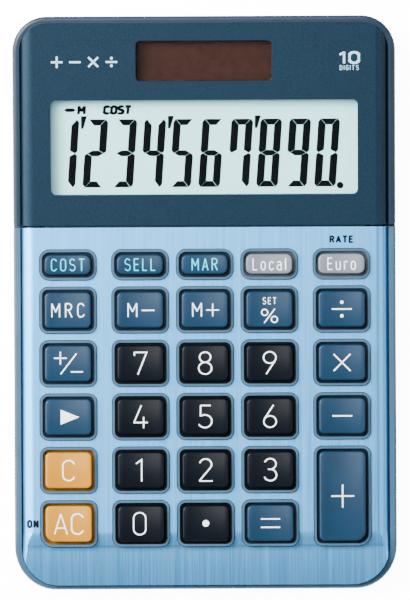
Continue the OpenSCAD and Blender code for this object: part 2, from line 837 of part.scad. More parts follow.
module board_screws() {
    color("#b8bcc0") for (p = BOARD_SCREWS) on_keypad() translate([p[0], p[1], -board_under - touch])
        screw(board_under - deck_under - 0.5);
}

module on_board_under() {
    on_keypad() translate([0, 0, -board_under - touch]) children();
}

module chip_cover() {
    color("#16181a") on_board_under() translate([0, row_v[1], 0]) rotate([180, 0, 0]) rotate_extrude()
        intersection() {
            translate([0, -8]) circle(9.4, $fn = 240);
            square([7, 3]);
        }
}

// Small can with a groove near its sealed end
module power_capacitor() {
    can_r = 2.5;
    can_h = 4.6;
    color("#2b2f6a") on_board_under() translate([14, row_v[0], -can_h]) difference() {
        cylinder(r = can_r, h = can_h);
        translate([0, 0, 0.8]) rotate_extrude() translate([can_r + 0.1, 0]) circle(0.3);
    }
}

module board_resistors() {
    size = [1.6, 0.9, 0.8];
    step = 3;
    color("#c9b08a") on_board_under() for (i = [0 : 3])
        translate([6 + step * i, row_v[1] + 1, -size[2]]) cube(size);
}

// ---- Battery ----

module battery() {
    color("#c6c9cc") translate([cell_x, cell_y, cell_z]) {
        cylinder(r = cell_r, h = cell_t - 0.5);
        cylinder(r = cell_r - 1.6, h = cell_t);
    }
}

module battery_contact_positive() {
    y = cell_y + cell_r + touch;
    color("#d8b45a") translate([cell_x - contact_w / 2, y, cell_z]) {
        cube([contact_w, contact_t, well_top + 2.6 - cell_z]);
        translate([0, 0, 1]) cube([contact_w, 0.7, 0.6]);
    }
}

module battery_contact_negative() {
    y = cell_y - cell_r - 0.7;
    tip = cell_z + cell_t + touch + contact_t / 2;
    color("#d8b45a") translate([cell_x, 0, 0]) strip([
        [y, well_top + 2.4], [y, well_top - 0.4], [cell_y - 2, tip], [cell_y + 2, well_top - 0.4]
    ], contact_t, contact_w);
}

module battery_leads() {
    land = kp(board_rear - 1.2, -board_top + bend_r + touch);
    top = well_top + 2.2;
    front = cell_y - cell_r - 0.7 - contact_t / 2 - bend_r - touch;
    back = cell_y + cell_r + contact_t + bend_r + 2 * touch;
    color("#2c2c30") {
        lead([[cell_x + 1, front, top], [cell_x + 2, front - 4, top + 0.3],
            [cell_x + 5, land[0] + 3, land[1]], [cell_x + 5, land[0], land[1]]], lead_r);
        lead([[cell_x + 1, back, top], [cell_x + 11, back, top + 0.2],
            [cell_x + 11, land[0] + 3, land[1]], [cell_x + 11, land[0], land[1]]], lead_r);
    }
}

module battery_cover() {
    color("#20384f") difference() {
        translate([cell_x, lid_mid_y, foot_h]) linear_extrude(lid_t)
            round_rect(lid_w, lid_l, [lid_r, lid_r, lid_r, lid_r]);
        translate([cell_x, lid_screw_y, 0]) {
            cylinder(r = screw_r + fit, h = far);
            cylinder(r = head_r + fit, h = lid_seat_z);
        }
        // Finger grooves
        for (i = [0 : 3]) translate([cell_x - 4, cell_y - 7 + i * 1.6, 0]) cube([8, 0.7, foot_h + 0.4]);
    }
}

module battery_cover_screw() {
    color("#b8bcc0") translate([cell_x, lid_screw_y, lid_seat_z - touch]) screw(lid_screw_len);
}

module case_screws() {
    color("#b8bcc0") for (p = CASE_SCREWS) translate([p[0], p[1], seat_z(p) - touch])
        screw(screw_top(p) - seat_z(p));
}

module rubber_feet() {
    color("#26282a") for (f = FEET) translate([f[0], f[1], 0])
        cylinder(r = foot_r, h = foot_h + foot_sink - touch);
}

module key_node(name) {
    for (k = KEYS) if (k[0] == name) color(k[4]) key(k);
}

bottom_case();
keyboard_case();
face_plate();
display_case();
display_cover();
lcd_lens();
solar_lens();
lcd_glass();
lcd_reflector();
lcd_holder();
lcd_holder_screws();
lcd_ribbon();
solar_cell();
solar_pad();
solar_leads();
circuit_board();
chip_cover();
power_capacitor();
board_resistors();
board_screws();
rubber_keypad();
battery();
battery_contact_positive();
battery_contact_negative();
battery_leads();
battery_cover();
battery_cover_screw();
case_screws();
rubber_feet();
for (k = KEYS) key_node(k[0]);
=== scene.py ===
# %% [markdown]
# # Desk calculator
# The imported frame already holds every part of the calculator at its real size: casings, plate, keys,
# board and battery. This script gives those parts their looks. It keeps the parts whose shape is
# right, rebuilds the ones that need softer edges, and adds the prints, the digits and the studio.
# All sizes below are millimetres in a part's own slope, and one matrix for each slope places them.

# %% Frame, units and the two slopes
import json
import math

import bmesh
import bpy
from mathutils import Matrix, Vector


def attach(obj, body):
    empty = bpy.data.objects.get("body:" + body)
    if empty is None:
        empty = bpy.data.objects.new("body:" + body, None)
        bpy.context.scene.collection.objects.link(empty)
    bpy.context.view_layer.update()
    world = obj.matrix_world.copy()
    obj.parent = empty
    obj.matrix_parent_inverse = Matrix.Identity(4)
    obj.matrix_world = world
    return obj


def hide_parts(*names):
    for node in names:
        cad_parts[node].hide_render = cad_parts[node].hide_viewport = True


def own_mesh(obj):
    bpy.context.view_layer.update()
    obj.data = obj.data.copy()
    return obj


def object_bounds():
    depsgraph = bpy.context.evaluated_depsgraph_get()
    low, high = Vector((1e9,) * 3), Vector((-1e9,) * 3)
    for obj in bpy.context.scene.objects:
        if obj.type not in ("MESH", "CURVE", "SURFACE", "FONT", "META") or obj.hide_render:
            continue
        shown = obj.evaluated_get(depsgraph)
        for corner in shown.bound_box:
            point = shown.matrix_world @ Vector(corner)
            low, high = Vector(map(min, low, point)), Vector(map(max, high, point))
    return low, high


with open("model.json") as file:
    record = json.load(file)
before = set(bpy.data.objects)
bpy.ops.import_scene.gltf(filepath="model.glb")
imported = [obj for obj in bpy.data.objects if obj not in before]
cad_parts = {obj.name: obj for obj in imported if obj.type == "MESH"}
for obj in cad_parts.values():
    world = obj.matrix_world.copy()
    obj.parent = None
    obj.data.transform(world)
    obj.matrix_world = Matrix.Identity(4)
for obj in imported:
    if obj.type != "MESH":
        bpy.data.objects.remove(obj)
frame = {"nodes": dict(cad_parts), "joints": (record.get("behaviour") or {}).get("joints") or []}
cad_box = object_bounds()

MM = 0.001
press_axis = Vector(frame["joints"][0]["axis"])
keypad_tilt = math.atan2(press_axis.y, -press_axis.z)
display_tilt = math.radians(12)
seam_y = 20.5
plate_z = 17.922
cover_z = 18.522
body_w = (cad_box[1].x - cad_box[0].x) / MM


def slope(z, tilt):
    """Millimetres along and above a slope that starts at the seam, to metres in the frame."""
    start = Matrix.Translation(Vector((0, seam_y, z)) * MM)
    return start @ Matrix.Rotation(tilt, 4, "X") @ Matrix.Scale(MM, 4)


on_keypad = slope(plate_z, keypad_tilt)
on_display = slope(cover_z, display_tilt)
print("keypad slope", round(math.degrees(keypad_tilt), 2), "degrees, body", round(body_w, 2), "mm wide")

# %% [markdown]
# ## Colours and nodes
# Paint charts give colours as sRGB hex values, and Blender's shaders want linear light, so one
# function converts them. One more function adds a shader node with its settings and links, which
# keeps each material down to a few readable lines.

# %% Helpers for materials


def rgb(value):
    """An sRGB hex colour as linear RGBA."""
    parts = [int(value[i:i + 2], 16) / 255 for i in (1, 3, 5)]
    return [c / 12.92 if c <= 0.04045 else ((c + 0.055) / 1.055) ** 2.4 for c in parts] + [1]


def add(tree, kind, inputs, **settings):
    """Adds one shader node. A socket given as an input is linked, and anything else is set."""
    made = tree.nodes.new(kind)
    for key, value in settings.items():
        setattr(made, key, value)
    for key, value in inputs.items():
        if isinstance(value, bpy.types.NodeSocket):
            tree.links.new(value, made.inputs[key])
        else:
            made.inputs[key].default_value = value
    return made


def finish_of(name, **sockets):
    """A material with one Principled shader; words in the socket names are joined by _."""
    made = bpy.data.materials.new(name)
    made.use_nodes = True
    shader = made.node_tree.nodes["Principled BSDF"]
    for key, value in sockets.items():
        shader.inputs[key.replace("_", " ").title().replace("Ior", "IOR")].default_value = value
    return made, made.node_tree, shader


def pattern(tree, size_mm, detail=2):
    """Noise on the object's own coordinates; size_mm is the grain along X, Y and Z."""
    place = add(tree, "ShaderNodeTexCoord", {})
    scaled = add(tree, "ShaderNodeMapping", {
        "Vector": place.outputs["Object"], "Scale": [1 / (s * MM) for s in size_mm]})
    return add(tree, "ShaderNodeTexNoise", {
        "Vector": scaled.outputs[0], "Scale": 1, "Detail": detail}).outputs["Fac"]


def spread(tree, value, low, high, from_min=0.3, from_max=0.7):
    """Maps a pattern's middle range onto low to high."""
    return add(tree, "ShaderNodeMapRange", {
        "Value": value, "From Min": from_min, "From Max": from_max,
        "To Min": low, "To Max": high}).outputs[0]


def tint(tree, value, dark, light):
    """A colour that goes from dark to light with a pattern."""
    mixed = add(tree, "ShaderNodeMix", {}, data_type="RGBA")
    tree.links.new(value, mixed.inputs["Factor"])
    mixed.inputs[6].default_value = rgb(dark)
    mixed.inputs[7].default_value = rgb(light)
    return mixed.outputs[2]


def relief(tree, shader, value, height_mm, strength=1):
    """Turns a pattern into bump of a real height."""
    bump = add(tree, "ShaderNodeBump", {
        "Height": value, "Distance": height_mm * MM, "Strength": strength})
    tree.links.new(bump.outputs[0], shader.inputs["Normal"])


materials = {}

# %% [markdown]
# ## Moulded plastics
# The casings, keys and inner frame are injection-moulded ABS. A steel mould that was spark-eroded
# leaves a fine even grain on the casing, and a polished mould leaves the key tops smoother. ABS has
# an IOR near 1.5 and reads as a soft sheen, never as a mirror. The fine grain dulls that sheen, so
# the casings and keys that show get a lower IOR than bare ABS. A light noise varies the colour by a
# few percent, because flat colour looks like a drawing, and a finer one gives the grain.

# %% Moulded ABS
cloud_mm = 9
sheen_play = 0.06


def moulded(name, dark, light, roughness, grain_mm, grain_high_mm, ior=1.5):
    made, tree, shader = finish_of(name, ior=ior)
    cloud = pattern(tree, [cloud_mm] * 3)
    grain = pattern(tree, [grain_mm] * 3, 3)
    tree.links.new(tint(tree, spread(tree, cloud, 0, 1), dark, light), shader.inputs["Base Color"])
    sheen = spread(tree, grain, roughness - sheen_play, roughness + sheen_play)
    tree.links.new(sheen, shader.inputs["Roughness"])
    relief(tree, shader, grain, grain_high_mm)
    return made


materials["bottom_plastic"] = moulded("abs_navy_bottom", "#16304a", "#1b3752", 0.5, 0.35, 0.01)
materials["keyboard_plastic"] = moulded(
    "abs_grey_blue_casing", "#294960", "#2e5068", 0.42, 0.35, 0.006, 1.42)
materials["display_plastic"] = moulded("abs_navy_casing", "#0a1f32", "#0d2438", 0.4, 0.35, 0.006, 1.42)
materials["holder_plastic"] = moulded("abs_white_holder", "#d6d6ce", "#e2e2da", 0.5, 0.4, 0.01)
materials["key_blue"] = moulded("abs_blue_key", "#102a3e", "#132f46", 0.34, 0.22, 0.004, 1.28)
materials["key_dark"] = moulded("abs_black_key", "#04080f", "#050a12", 0.32, 0.22, 0.004, 1.22)
materials["key_grey"] = moulded("abs_grey_key", "#636974", "#686e7a", 0.38, 0.22, 0.004, 1.42)
materials["key_orange"] = moulded("abs_orange_key", "#ac7100", "#b27600", 0.38, 0.22, 0.004, 1.35)
print(len(materials), "moulded plastics")

# %% [markdown]
# ## Brushed anodised aluminium
# The face plate is thin aluminium sheet, brushed from front to rear and anodised light blue. The
# brush leaves scratches about 0.15 mm wide and many centimetres long. They are too fine to show, so
# they are drawn 0.35 and 0.5 mm wide, with the noise stretched along Y. Both vary the shade a little,
# and the finer one varies roughness and bump. Metal keeps the default IOR.

# %% Brushed plate
plate, tree, shader = finish_of("aluminium_brushed_light_blue", metallic=0.85)
fine = pattern(tree, [0.35, 30, 30], 3)
broad = pattern(tree, [0.5, 80, 80], 2)
both = add(tree, "ShaderNodeMath", {0: fine, 1: broad}, operation="ADD").outputs[0]
streaks = tint(tree, spread(tree, both, 0, 1, 0.7, 1.3), "#4ba3e4", "#5eb6f4")
tree.links.new(streaks, shader.inputs["Base Color"])
tree.links.new(spread(tree, fine, 0.3, 0.42), shader.inputs["Roughness"])
relief(tree, shader, fine, 0.0012)
materials["brushed_plate"] = plate
print(plate.name)

# %% [markdown]
# ## Metallic lacquer
# The display cover is navy lacquer with aluminium flakes under a clear coat. Each flake is a few
# hundredths of a millimetre, too fine to show, so the flake pattern is drawn at 0.3 mm. The flakes
# lighten the colour in specks, and a thin smooth coat lies over them.

# %% Lacquered cover
cover, tree, shader = finish_of("lacquer_navy_flake", metallic=0.35, roughness=0.42, ior=1.3,
                                coat_weight=0.06, coat_roughness=0.25, coat_ior=1.35)
flake = pattern(tree, [0.3, 0.3, 0.3], 1)
speck = tint(tree, spread(tree, flake, 0, 1, 0.35, 0.75), "#081e2c", "#122e40")
tree.links.new(speck, shader.inputs["Base Color"])
relief(tree, shader, flake, 0.002)
materials["display_panel"] = cover
print(cover.name)

# %% [markdown]
# ## Clear windows, display glass and solar cell
# The two windows are clear acrylic, so nearly all that shows is what lies behind: they get a low
# alpha and a smooth surface. The display glass is a liquid crystal cell over a silver reflector, a
# pale grey-green. The solar cell is amorphous silicon on glass, a deep brown.

# %% Display and solar finishes
materials["clear_window"] = finish_of(
    "acrylic_clear", base_color=rgb("#101414"), alpha=0.04, roughness=0.04, ior=1.3)[0]


def speckled(name, dark, light, size_mm, roughness, metallic=0.0, high_mm=0.002, ior=1.45):
    """A plain finish with a little life: colour and roughness follow one fine pattern."""
    made, tree, shader = finish_of(name, metallic=metallic)
    if metallic == 0:
        shader.inputs["IOR"].default_value = ior
    fine = pattern(tree, [size_mm] * 3, 2)
    tree.links.new(tint(tree, spread(tree, fine, 0, 1), dark, light), shader.inputs["Base Color"])
    tree.links.new(spread(tree, fine, roughness * 0.85, roughness * 1.15), shader.inputs["Roughness"])
    relief(tree, shader, fine, high_mm)
    return made


materials["lcd"] = speckled("lcd_glass_grey_green", "#b2f6fc", "#b8faff", 0.4, 0.5, ior=1.3)
materials["solar"] = speckled("silicon_brown", "#26100a", "#2c140e", 1.5, 0.4, ior=1.3)
materials["segment_ink"] = speckled("lcd_segment_dark", "#040508", "#06080b", 0.5, 0.5, ior=1.12)

# %% [markdown]
# ## Prints, metals, rubbers and the board
# Legends are pad-printed ink, slightly matt. Screws are zinc-plated steel, contacts are nickel, the
# feet are black rubber and the keypad is translucent silicone. The circuit board is green solder
# mask over woven glass, whose weave of about 0.5 mm shows faintly.

# %% The other finishes
materials["ink_white"] = speckled("ink_off_white", "#fafcfe", "#ffffff", 0.5, 0.55)
materials["ink_cyan"] = speckled("ink_cyan", "#00c6e0", "#04cee8", 0.5, 0.6, ior=1.3)
materials["ink_pale_blue"] = speckled("ink_pale_blue", "#a9c8da", "#b4d0e0", 0.5, 0.55)
materials["ink_dark"] = speckled("ink_dark_navy", "#04080f", "#070c14", 0.5, 0.6, ior=1.2)
materials["screw_steel"] = speckled("steel_zinc_plated", "#b4b8bc", "#c8ccd0", 0.3, 0.32, 1.0)
materials["cell_steel"] = speckled("steel_nickel_cell", "#c4c6c8", "#d6d8da", 0.6, 0.26, 1.0)
materials["contact_steel"] = speckled("steel_spring_contact", "#c8ac70", "#d8bd82", 0.4, 0.3, 1.0)
materials["foot_rubber"] = speckled("rubber_black_foot", "#17181a", "#202225", 0.25, 0.85, 0.0, 0.02)
materials["silicone"] = speckled("silicone_translucent_grey", "#b9bbb6", "#c6c8c3", 0.5, 0.6, 0.0, 0.01)
materials["foam"] = speckled("foam_dark_grey", "#2a2b2d", "#3a3b3d", 0.4, 0.95, 0.0, 0.08)
materials["reflector"] = speckled("film_silver_reflector", "#b4bebe", "#c4cccc", 0.3, 0.35, 0.6)
materials["ribbon_film"] = speckled("film_amber_ribbon", "#70440f", "#80521a", 0.6, 0.35)
materials["red_lead"] = speckled("pvc_red_lead", "#8e1f18", "#9c2a20", 0.5, 0.4)
materials["black_lead"] = speckled("pvc_black_lead", "#141416", "#1c1c1f", 0.5, 0.4)
materials["board"] = speckled("board_green_mask", "#1d4f2b", "#27613a", 0.5, 0.35, 0.0, 0.01)
materials["epoxy"] = speckled("epoxy_black_cap", "#0b0c0d", "#131415", 0.8, 0.3)
materials["capacitor_sleeve"] = speckled("sleeve_dark_blue", "#1c2055", "#262b66", 0.8, 0.3)
materials["resistor"] = speckled("ceramic_resistor", "#a98f68", "#baa079", 0.3, 0.5)
print(len(materials), "finishes in all")

# %% Give every CAD node its finish
for name, node in frame["nodes"].items():
    slots = [m.name.split(".")[0] if m else "" for m in node.data.materials]
    for i, slot in enumerate(slots):
        if slot in materials:
            node.data.materials[i] = materials[slot]
print(len(frame["nodes"]), "nodes painted")

# %% [markdown]
# ## From a working mesh to a finished piece
# Each new piece is worked on in millimetres on its own slope and then placed. Faces under 40 degrees
# apart are shaded as one round surface, and weighted normals keep wide flat faces flat beside small
# rounded edges. The piece then rides on a body of the frame and may stand for a node of it.

# %% Helper that finishes a piece
round_under = math.radians(40)
sharp_over = math.radians(50)


def finish_piece(name, bm, place, ink, body="root", stands_for=(), fix=True):
    if fix:
        bmesh.ops.recalc_face_normals(bm, faces=bm.faces)
    bm.transform(place)
    mesh = bpy.data.meshes.new(name)
    bm.to_mesh(mesh)
    bm.free()
    mesh.materials.append(materials[ink])
    mesh.polygons.foreach_set("use_smooth", [True] * len(mesh.polygons))
    mesh.set_sharp_from_angle(angle=round_under)
    piece = bpy.data.objects.new(name, mesh)
    bpy.context.scene.collection.objects.link(piece)
    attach(piece, body)
    if stands_for:
        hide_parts(*stands_for)
    return piece


def soften(piece, width_mm, segments=2):
    """Rounds a piece's sharp edges a little, as every moulded or pressed edge is."""
    bevel = piece.modifiers.new("soft_edges", "BEVEL")
    bevel.width = width_mm * MM
    bevel.segments = segments
    bevel.limit_method = "ANGLE"
    bevel.angle_limit = sharp_over
    bevel.use_clamp_overlap = True
    weighted = piece.modifiers.new("even_shading", "WEIGHTED_NORMAL")
    weighted.keep_sharp = True


# %% [markdown]
# ## Casings
# The casings came from the frame as loose triangles with knife-sharp edges. A copy is merged back
# into one skin, its flat areas are cleaned to single faces, and a small bevel breaks every edge. The
# light then runs along the rims and round the key collars, which is most of what the eye reads as
# a moulded part.

# %% Casings with broken edges
weld_mm = 0.0005
flat_within = math.radians(0.4)
rim_over = math.radians(60)
rim_near = 0.05
rim_lowest = -6


def skin_of(node, place):
    """The node's own mesh on a slope, merged to one skin, flat areas as single faces."""
    bm = bmesh.new()
    bm.from_mesh(frame["nodes"][node].data)
    bm.transform(place.inverted())
    bmesh.ops.remove_doubles(bm, verts=bm.verts, dist=weld_mm)
    bmesh.ops.dissolve_limit(bm, angle_limit=flat_within, verts=bm.verts, edges=bm.edges,
                             use_dissolve_boundaries=False, delimit={"NORMAL"})
    return bm


half_w, half_d = body_w / 2, 76.5
front_r, rear_r = 11.4, 9.2


def inside_outline(point):
    """How far a point lies inside the body's rounded outline, seen from above."""
    radius = front_r if point.y < 0 else rear_r
    dx = abs(point.x) - (half_w - radius)
    dy = abs(point.y) - (half_d - radius)
    if dx > 0 and dy > 0:
        return radius - math.hypot(dx, dy)
    return radius - max(dx, dy)


def round_rim(bm, place, width_mm):
    """Rounds the outer upper edge of an upper casing, where the side wall meets the rim."""
    rim = []
    for edge in bm.edges:
        if len(edge.link_faces) != 2 or edge.calc_face_angle() < rim_over:
            continue
        ends = [place @ v.co / MM for v in edge.verts]
        tops = max(v.co.z for v in edge.verts)
        outer = all(abs(inside_outline(e)) < rim_near for e in ends)
        upper = any(f.normal.z > 0.9 for f in edge.link_faces)
        if outer and upper and tops > rim_lowest:
            rim.append(edge)
    bmesh.ops.bevel(bm, geom=rim, offset=width_mm, segments=4, profile=0.5, affect="EDGES",
                    clamp_overlap=True, material=-1)
    return len(rim)


for node, place, slot, edge_mm, rim_mm in [
    ("keyboard_case", on_keypad, "keyboard_plastic", 0.12, 0.7),
    ("display_case", on_display, "display_plastic", 0.12, 1.2),
    ("bottom_case", on_keypad, "bottom_plastic", 0.25, 0),
    ("display_cover", on_display, "display_panel", 0.12, 0),
]:
    bm = skin_of(node, place)
    if rim_mm:
        print("rim edges", round_rim(bm, place, rim_mm))
    shell = finish_piece(node + "_shell", bm, place, slot,
                         stands_for=[node], fix=False)
    soften(shell, edge_mm)
    print(shell.name, len(shell.data.polygons), "faces")

# %% [markdown]
# ## Keys
# Five columns and six rows hold the keys. Each key stands in a collar of the casing, and its cap is
# smaller than the collar by the inset all round. The inset is a little wider than the frame's, so
# that the gap shows. A short first row and one key that spans two rows are the exceptions.

# %% Key sizes and places
column_x = [-36.85, -17.4, 0, 17.4, 36.85]
row_v = [-10.2, -22.4, -36.78, -51.16, -65.54, -79.92]
row_pitch = 14.38
collar_w = 15.2
collar_l = 12.38
short_l = 8.1
inset = 1.2
key_high = 2.5
dish_r = 45
flange_under = 3.0
flange_thick = 0.9
corner_r, short_r, big_r = 2.2, 2.6, 3.4

# name, column, row, rows spanned, finish
keys = [
    ("key_cost", 0, 0, 1, "key_blue"), ("key_sell", 1, 0, 1, "key_blue"),
    ("key_margin", 2, 0, 1, "key_blue"), ("key_local", 3, 0, 1, "key_grey"),
    ("key_euro", 4, 0, 1, "key_grey"),
    ("key_memory_recall", 0, 1, 1, "key_blue"), ("key_memory_minus", 1, 1, 1, "key_blue"),
    ("key_memory_plus", 2, 1, 1, "key_blue"), ("key_percent", 3, 1, 1, "key_blue"),
    ("key_divide", 4, 1, 1, "key_blue"),
    ("key_sign", 0, 2, 1, "key_blue"), ("key_7", 1, 2, 1, "key_dark"), ("key_8", 2, 2, 1, "key_dark"),
    ("key_9", 3, 2, 1, "key_dark"), ("key_multiply", 4, 2, 1, "key_blue"),
    ("key_delete", 0, 3, 1, "key_blue"), ("key_4", 1, 3, 1, "key_dark"), ("key_5", 2, 3, 1, "key_dark"),
    ("key_6", 3, 3, 1, "key_dark"), ("key_subtract", 4, 3, 1, "key_blue"),
    ("key_clear", 0, 4, 1, "key_orange"), ("key_1", 1, 4, 1, "key_dark"), ("key_2", 2, 4, 1, "key_dark"),
    ("key_3", 3, 4, 1, "key_dark"), ("key_add", 4, 4, 2, "key_blue"),
    ("key_all_clear", 0, 5, 1, "key_orange"), ("key_0", 1, 5, 1, "key_dark"),
    ("key_point", 2, 5, 1, "key_dark"), ("key_equals", 3, 5, 1, "key_blue"),
]


def key_centre(column, row, rows):
    return column_x[column], row_v[row] - (rows - 1) * row_pitch / 2


def collar_length(row, rows):
    return short_l if row == 0 else collar_l + (rows - 1) * row_pitch


def cap_size(row, rows):
    return collar_w - 2 * inset, collar_length(row, rows) - 2 * inset


def corner_radii(name, row):
    """Radii of the collar's corners: front left, front right, rear right, rear left."""
    radii = [short_r if row == 0 else corner_r] * 4
    if name == "key_all_clear":
        radii[0] = big_r
    if name == "key_add":
        radii[1] = big_r
    return radii


def hollow(x, half_w):
    """Height of the key's top at x from its middle."""
    return key_high + (x * x - half_w * half_w) / (2 * dish_r)


# %% [markdown]
# ## Face plate with its front lip
# The plate bends down softly in front of the last row of keys. In the frame that bend is one crease.
# Here the skin is cut into narrow strips across the lip, and each cut is lowered along a smooth
# step that eases into a shallow curve, so that the light fades over it as on pressed sheet. The
# holes for the keys are widened a little as well, so that the gap round each collar shows.

# %% Face plate
lip_from = -82.02
lip_slope = math.tan(math.radians(8))
step_long = 5.5
step_deep = 0.55
curve_rate = 0.0085
lip_cuts = 28
lip_cut_step = 0.6
hole_extra = 0.18
hole_near = 0.9


def lip_change(v):
    """How much lower the pressed lip is than the plain crease, v millimetres along the slope."""
    reach = max(lip_from - v, 0)
    s = min(reach / step_long, 1)
    return step_deep * s * s * (3 - 2 * s) + curve_rate * reach * reach - reach * lip_slope


def widen_hole(vert):
    """Moves a point on the edge of a key's hole away from the collar."""
    for name, column, row, rows, ink in keys:
        x, v = key_centre(column, row, rows)
        long = collar_length(row, rows)
        away = Vector((vert.co.x - x, vert.co.y - v))
        corner = Vector((abs(away.x) - collar_w / 2 + corner_r, abs(away.y) - long / 2 + corner_r))
        reach = Vector((max(corner.x, 0), max(corner.y, 0)))
        if max(corner) > 0 and abs(reach.length - corner_r) < hole_near:
            step = reach.normalized() * hole_extra
            vert.co.x += math.copysign(step.x, away.x)
            vert.co.y += math.copysign(step.y, away.y)


bm = skin_of("face_plate", on_keypad)
for i in range(lip_cuts):
    bmesh.ops.bisect_plane(bm, geom=bm.verts[:] + bm.edges[:] + bm.faces[:], dist=0.0001,
                           plane_co=(0, lip_from - lip_cut_step * i, 0), plane_no=(0, 1, 0))
for vert in bm.verts:
    vert.co.z -= lip_change(vert.co.y)
    widen_hole(vert)
plate_sheet = finish_piece("face_plate_sheet", bm, on_keypad, "brushed_plate",
                           stands_for=["face_plate"], fix=False)
soften(plate_sheet, 0.08)
print(plate_sheet.name, len(plate_sheet.data.polygons), "faces")

# %% [markdown]
# ## Key caps
# A key cap is a shallow box with round corners, a hollow pressed across its top so that a finger
# finds it, a rounded upper edge, and a flange below that the deck stops. Each starts as one square
# face, gets its corner arcs by a vertex bevel, and is extruded. The top is then cut into strips
# across X, because a single flat face can't follow the hollow.

# %% Key caps
cap_draft = 0.4
cap_edge = 0.45
cap_strips = 14
corner_extra = 0.4


def round_plate(bm, w, l, radii, z):
    """A flat rounded rectangle; returns its face."""
    made = bmesh.ops.create_grid(bm, x_segments=1, y_segments=1, size=0.5)["verts"]
    for vert in made:
        vert.co = Vector((vert.co.x * w, vert.co.y * l, z))
    order = sorted(made, key=lambda v: math.atan2(v.co.y, v.co.x))
    for vert, radius in zip(order, radii):
        bmesh.ops.bevel(bm, geom=[vert], offset=radius, offset_type="OFFSET", segments=6,
                        profile=0.5, affect="VERTICES", material=-1)
    return [f for f in bm.faces if all(abs(v.co.z - z) < 1e-6 for v in f.verts)][-1]


def raise_face(bm, face, height):
    """Extrudes a face up and returns the new top."""
    made = bmesh.ops.extrude_face_region(bm, geom=[face])["geom"]
    verts = [g for g in made if isinstance(g, bmesh.types.BMVert)]
    bmesh.ops.translate(bm, vec=(0, 0, height), verts=verts)
    return [g for g in made if isinstance(g, bmesh.types.BMFace)][0]


def make_key(name, column, row, rows, ink):
    x, v = key_centre(column, row, rows)
    w, l = cap_size(row, rows)
    radii = [r - inset + corner_extra for r in corner_radii(name, row)]
    bm = bmesh.new()
    base = round_plate(bm, w, l, radii, -flange_under + flange_thick)
    top = raise_face(bm, base, key_high + flange_under - flange_thick)
    for vert in top.verts:
        vert.co.x *= 1 - cap_draft / w
        vert.co.y *= 1 - cap_draft / l
    bmesh.ops.bevel(bm, geom=list(top.edges), offset=cap_edge, segments=3, profile=0.5,
                    affect="EDGES", material=-1)
    for i in range(1, cap_strips):
        bmesh.ops.bisect_plane(bm, geom=bm.verts[:] + bm.edges[:] + bm.faces[:], dist=0.0001,
                               plane_co=(-w / 2 + i * w / cap_strips, 0, 0), plane_no=(1, 0, 0))
    for vert in bm.verts:
        if vert.co.z > 0.5:
            vert.co.z += hollow(vert.co.x, w / 2) - key_high
    flange = round_plate(bm, w + 2 * inset, l + 2 * inset, corner_radii(name, row), -flange_under)
    raise_face(bm, flange, flange_thick)
    bm.transform(Matrix.Translation((x, v, 0)))
    return finish_piece(name + "_cap", bm, on_keypad, ink, body=name, stands_for=[name])


caps = [make_key(*key) for key in keys]
print(len(caps), "key caps,", len(caps[0].data.polygons), "faces in the first")

# %% [markdown]
# ## Legends
# The legends are thin even strokes with square ends. A stroke font is easy to draw with two tools:
# a straight stroke is one slim rectangle, and a round stroke is a short edge spun about the centre
# of its arc. Each glyph is a list of such strokes on a unit cell one high. The ink is a film a few
# hundredths thick that follows the hollow of the key.

